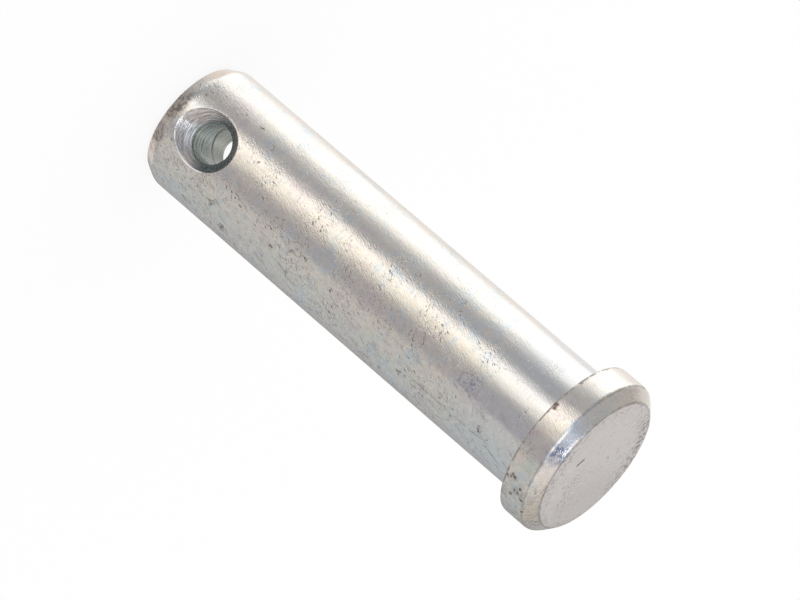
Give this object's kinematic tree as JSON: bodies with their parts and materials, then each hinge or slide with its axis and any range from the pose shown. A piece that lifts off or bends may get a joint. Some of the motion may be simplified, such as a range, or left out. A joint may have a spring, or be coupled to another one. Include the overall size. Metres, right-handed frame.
{
  "type": "clevis pin",
  "caption": "Straight round clevis pin with a low flat head and a countersunk cross hole near the tip for a cotter.",
  "frame": {"origin": "centre of the head's bearing face, where the shank meets the head", "axes": "+Z along the pin's axis, out of the head; the shank points down -Z and the cotter hole runs along Y"},
  "size_m": [0.016, 0.016, 0.0506],
  "materials": {
    "zinc_plated_steel": "bright zinc plated"
  },
  "bodies": {
    "root": {"clevis_pin": "zinc_plated_steel"}
  },
  "joints": []
}
